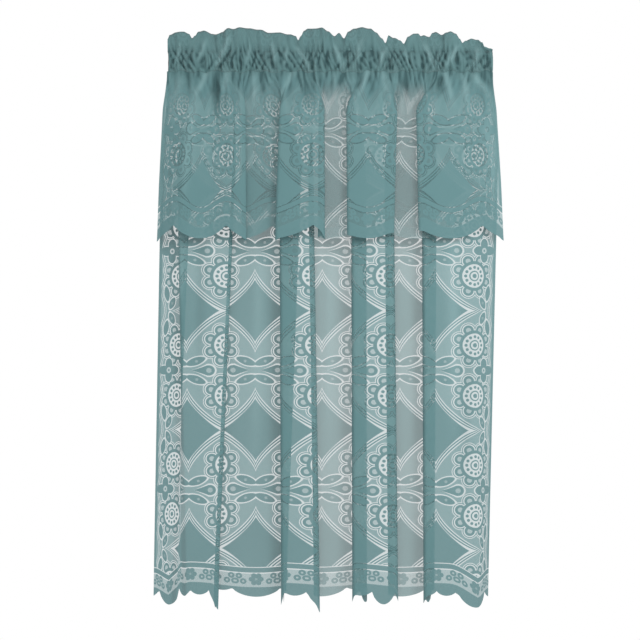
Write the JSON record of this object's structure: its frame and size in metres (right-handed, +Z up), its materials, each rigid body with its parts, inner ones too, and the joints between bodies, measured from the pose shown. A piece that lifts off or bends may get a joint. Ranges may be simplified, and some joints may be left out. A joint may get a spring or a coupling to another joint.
{
  "type": "cafe curtain",
  "caption": "Teal lace cafe curtain with a ruffled, gathered rod pocket, an attached scalloped valance and a long tier panel.",
  "frame": {"origin": "On the axis of the rod pocket, half way along it, where the rod holds the curtain.", "axes": "+X along the rod to the right as seen from the room, +Y away from the room, +Z up."},
  "size_m": [0.693, 0.0715, 1.1564],
  "materials": {
    "gathered_lace": "gathered lace, many thicknesses deep, matt",
    "valance_lace": "sheer knitted lace, matt",
    "tier_lace": "sheer knitted lace, matt"
  },
  "bodies": {
    "root": {"heading": "gathered_lace", "valance": "valance_lace", "tier_panel": "tier_lace"}
  },
  "joints": []
}
